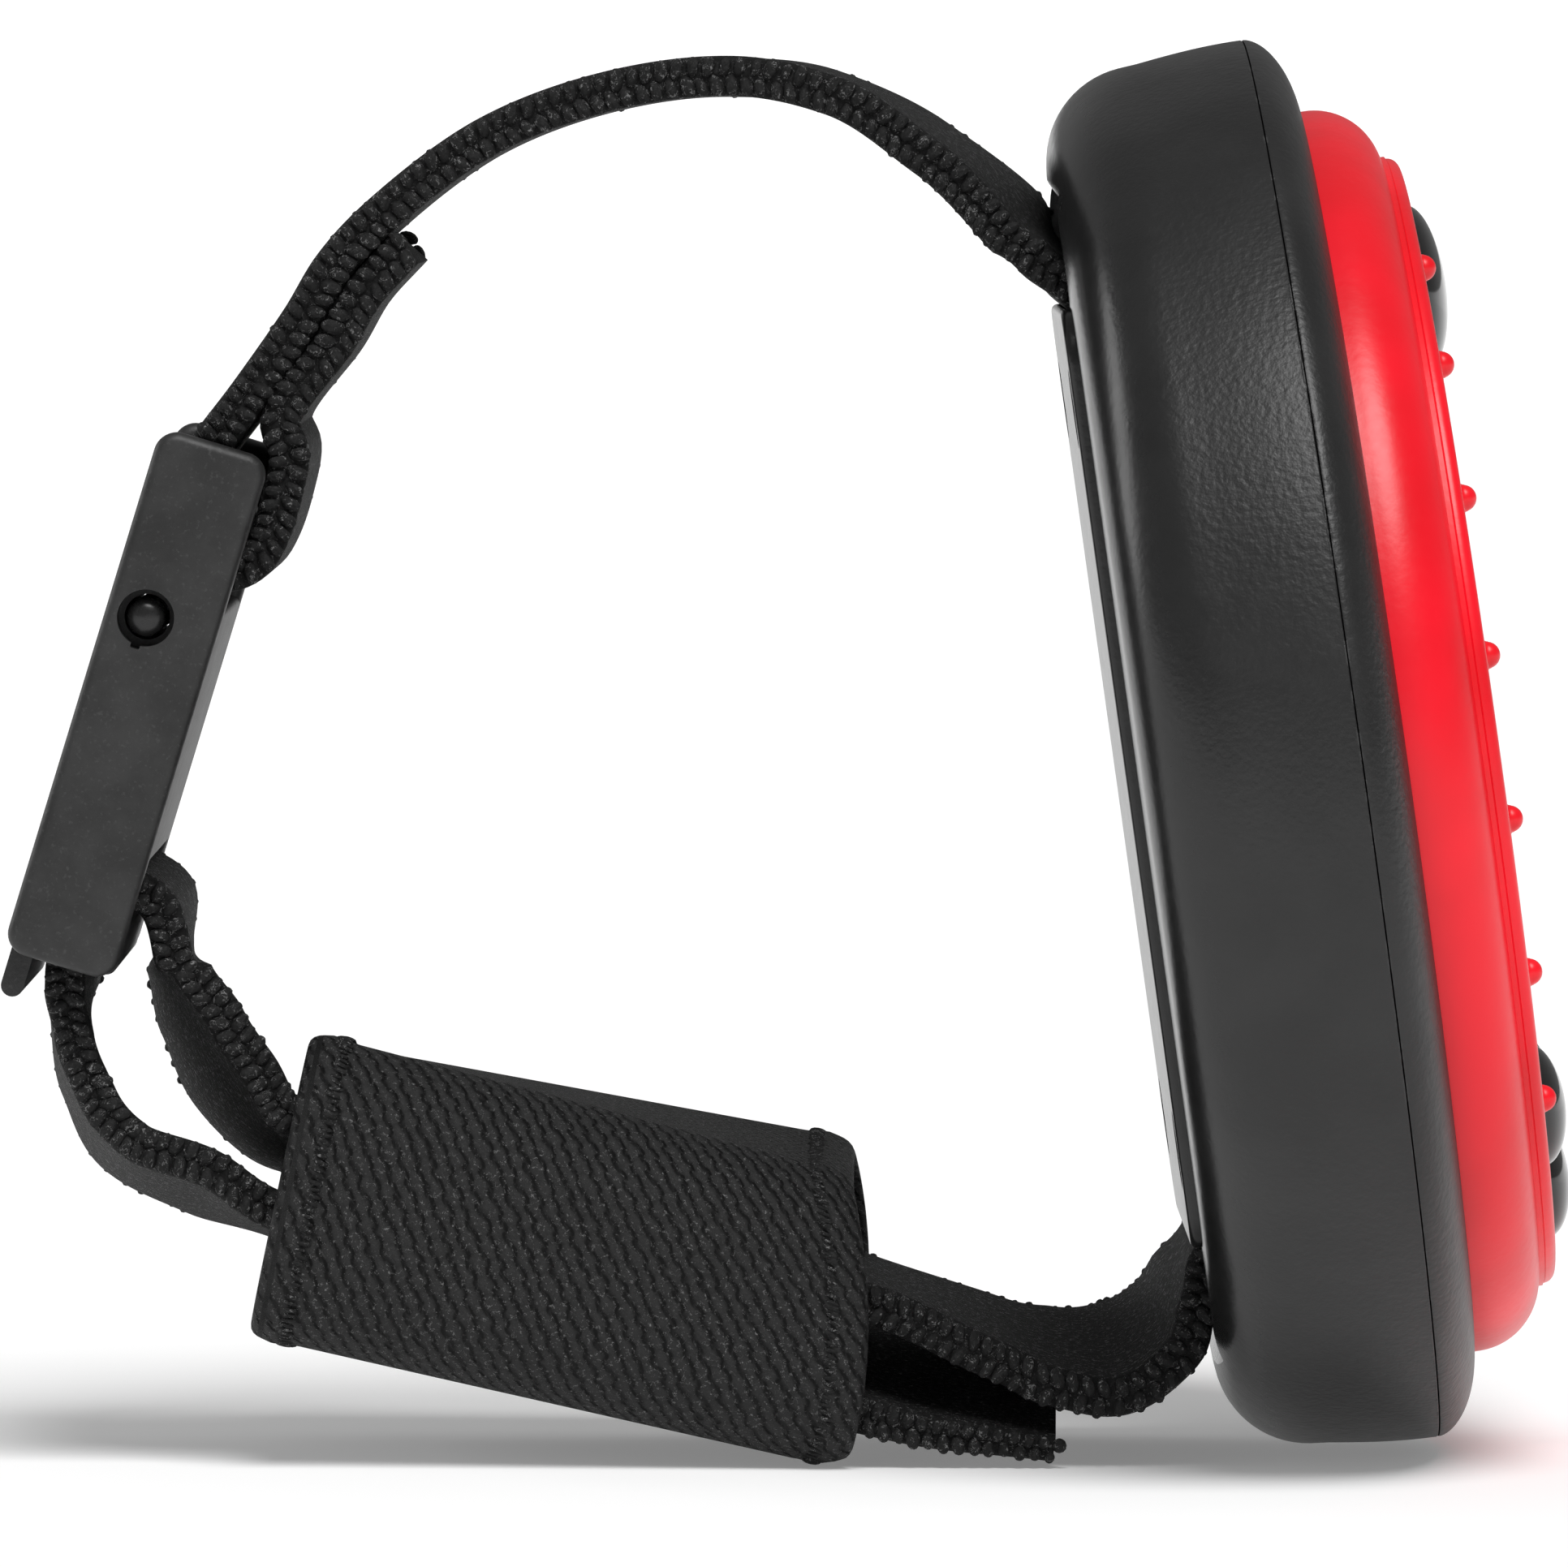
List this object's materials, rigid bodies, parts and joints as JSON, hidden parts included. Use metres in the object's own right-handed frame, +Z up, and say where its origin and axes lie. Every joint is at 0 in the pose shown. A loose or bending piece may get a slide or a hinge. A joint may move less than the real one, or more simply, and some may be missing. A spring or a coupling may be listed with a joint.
{
  "type": "wrist pin cushion",
  "caption": "Round magnetic pin holder with a raised face and domed studs, worn on an elastic strap with a lever buckle and a fabric keeper.",
  "frame": {"origin": "on the resting surface, under the middle of the object's box", "axes": "+X the way the pad faces, +Y across the strap's width, +Z up"},
  "size_m": [0.083, 0.075, 0.0752],
  "materials": {
    "black_shell": "fine moulded grain, satin",
    "red_face": "soft satin",
    "gloss_stud": "polished",
    "elastic": "knitted elastic with plaited edges",
    "keeper_knit": "ribbed elastic knit",
    "buckle_plastic": "speckled matte moulding",
    "steel": "zinc plated",
    "dark_pin": "blackened, semi-gloss",
    "magnet": "sintered"
  },
  "bodies": {
    "wristband": {"rear_case": "black_shell", "front_bezel": "black_shell", "face_cap": "red_face", "pin_plate": "red_face", "strap_bridge": "black_shell", "magnet_disc": "magnet", "magnet_backing_plate": "steel", "magnet_carrier": "black_shell", "bridge_screw_1": "steel", "bridge_screw_2": "steel", "bridge_screw_3": "steel", "bridge_screw_4": "steel", "top_stud": "gloss_stud", "bottom_stud": "gloss_stud", "near_stud": "gloss_stud", "far_stud": "gloss_stud", "strap_sewn_end": "elastic", "strap_bar_loop": "elastic", "strap_arch": "elastic", "strap_under_bridge": "elastic", "strap_lower_run": "elastic", "strap_grip_turn": "elastic", "strap_tail": "elastic", "buckle_frame": "buckle_plastic"},
    "lever": {"buckle_lever": "buckle_plastic", "lever_pin": "dark_pin"},
    "keeper": {"strap_keeper": "keeper_knit"}
  },
  "joints": [
    {"name": "lever_hinge", "type": "hinge", "parent": "wristband", "child": "lever", "pos_m": [-0.03377, 0, 0.04487], "axis": [0, 1, 0], "range_deg": [0, 100]},
    {"name": "keeper_slide", "type": "slide", "parent": "wristband", "child": "keeper", "axis": [0.953, 0, -0.303], "range_m": [0, 0.004]}
  ]
}
